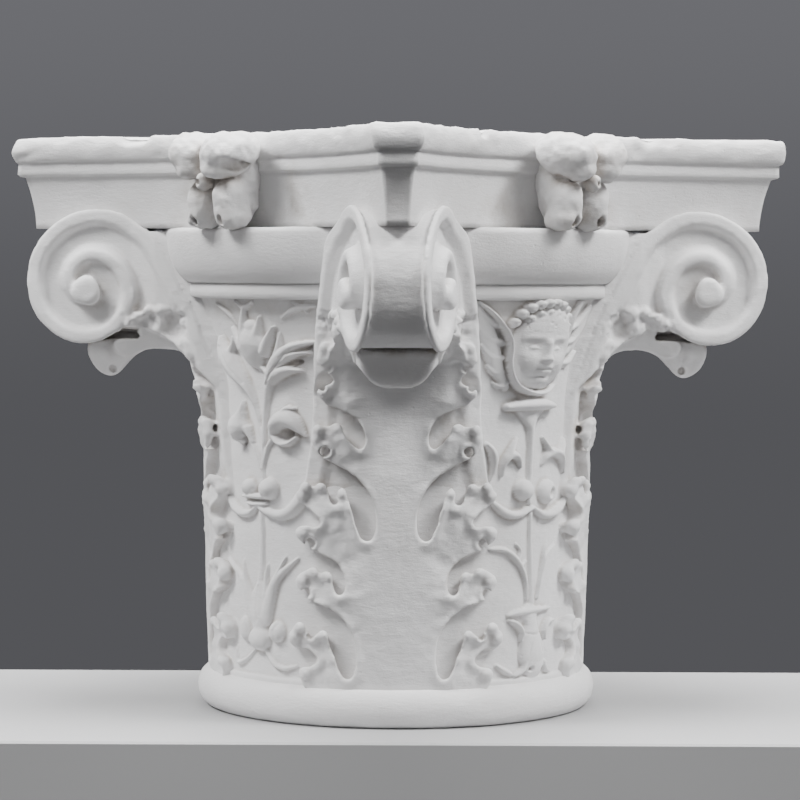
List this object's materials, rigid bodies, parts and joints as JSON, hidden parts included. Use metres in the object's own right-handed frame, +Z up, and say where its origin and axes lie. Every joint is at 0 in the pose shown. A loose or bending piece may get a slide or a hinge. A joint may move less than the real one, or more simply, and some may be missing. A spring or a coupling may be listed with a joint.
{
  "type": "column capital",
  "caption": "Cast plaster capital: leaf-wrapped bell with relief panels on a round base roll, corner volutes under a hollow-sided square abacus.",
  "frame": {"origin": "centre of the round underside", "axes": "+Z up the column's axis; the abacus is square to X and Y; -Y is the front panel with the winged head, -X the plant panel"},
  "size_m": [0.4084, 0.4084, 0.4],
  "materials": {
    "plaster": "matt white gypsum plaster, brushed and finely pitted, with grey-brown dirt in the recesses"
  },
  "bodies": {
    "root": {"capital": "plaster"}
  },
  "joints": []
}
